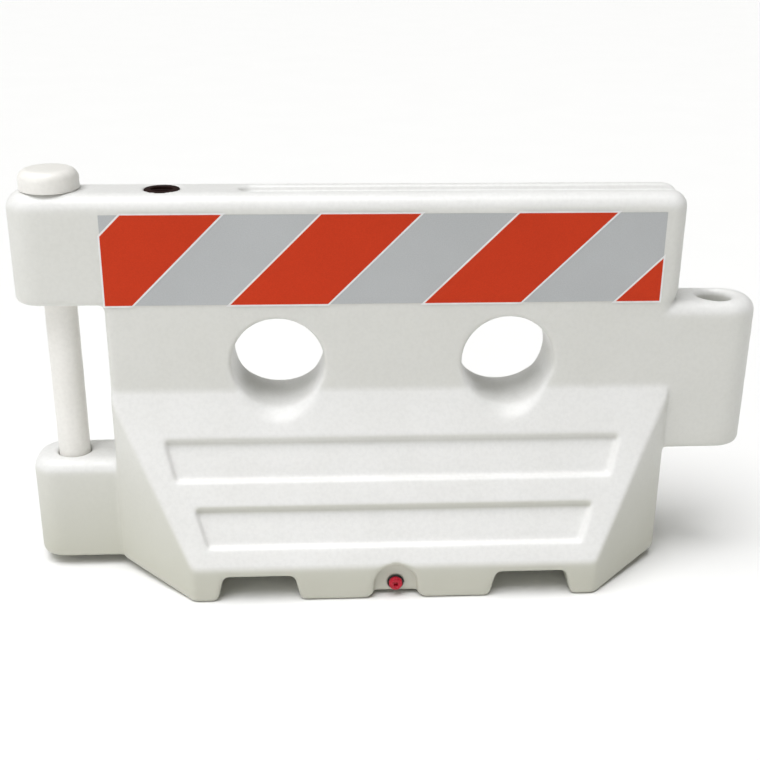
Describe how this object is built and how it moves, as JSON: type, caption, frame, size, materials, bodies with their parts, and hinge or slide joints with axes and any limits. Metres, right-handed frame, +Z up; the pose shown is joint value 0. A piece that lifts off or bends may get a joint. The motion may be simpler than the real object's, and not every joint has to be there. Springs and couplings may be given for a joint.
{
  "type": "water filled barrier",
  "caption": "Hollow moulded road barrier with lift-out connecting pin, hinge knuckles and tongue, through holes, fork gaps, screwed drain plug and fill cap, and striped sheeting.",
  "frame": {"origin": "on the ground under the middle of the barrier's length and width", "axes": "+Z up; +X along the barrier towards the tongue, so the connecting pin is at -X; +Y to the back, so the drain plug faces -Y"},
  "size_m": [1.686, 0.5, 0.9463],
  "materials": {
    "barrier_plastic": "white rotomoulded polyethylene with a fine orange peel",
    "pin_plastic": "slightly warmer white polyethylene",
    "cap_plastic": "black",
    "plug_plastic": "crimson, moulded",
    "seal_rubber": "black, smooth",
    "insert_brass": "turned",
    "sheeting_silver": "silver retroreflective sheeting",
    "sheeting_orange": "orange retroreflective sheeting"
  },
  "bodies": {
    "shell": {"barrier_shell": "barrier_plastic", "fill_insert": "insert_brass", "drain_insert": "insert_brass", "sheeting_front": "sheeting_silver", "stripe_front_1": "sheeting_orange", "stripe_front_2": "sheeting_orange", "stripe_front_3": "sheeting_orange", "stripe_front_4": "sheeting_orange", "sheeting_back": "sheeting_silver", "stripe_back_1": "sheeting_orange", "stripe_back_2": "sheeting_orange", "stripe_back_3": "sheeting_orange", "stripe_back_4": "sheeting_orange"},
    "pin": {"connecting_pin": "pin_plastic"},
    "cap_seal": {"fill_seal": "seal_rubber"},
    "cap": {"fill_cap": "cap_plastic"},
    "plug_seal": {"drain_seal": "seal_rubber"},
    "plug": {"drain_plug": "plug_plastic"}
  },
  "joints": [
    {"name": "pin_lift", "type": "slide", "parent": "shell", "child": "pin", "axis": [0, 0, 1], "range_m": [0, 0.88]},
    {"name": "cap_lift", "type": "slide", "parent": "shell", "child": "cap_seal", "axis": [0, 0, 1], "range_m": [0, 0.0226]},
    {"name": "cap_turn", "type": "hinge", "parent": "cap_seal", "child": "cap", "pos_m": [-0.5075, 0, 0.9], "axis": [0, 0, 1], "range_deg": [0, 1620]},
    {"name": "plug_out", "type": "slide", "parent": "shell", "child": "plug_seal", "axis": [0, -1, 0], "range_m": [0, 0.0241]},
    {"name": "plug_turn", "type": "hinge", "parent": "plug_seal", "child": "plug", "pos_m": [0, -0.232, 0.034], "axis": [0, -1, 0], "range_deg": [0, 2160]}
  ],
  "couplings": [
    {"joint": "cap_lift", "follows": "cap_turn", "m_per_rad": 0.00079577},
    {"joint": "plug_out", "follows": "plug_turn", "m_per_rad": 0.00063662}
  ]
}
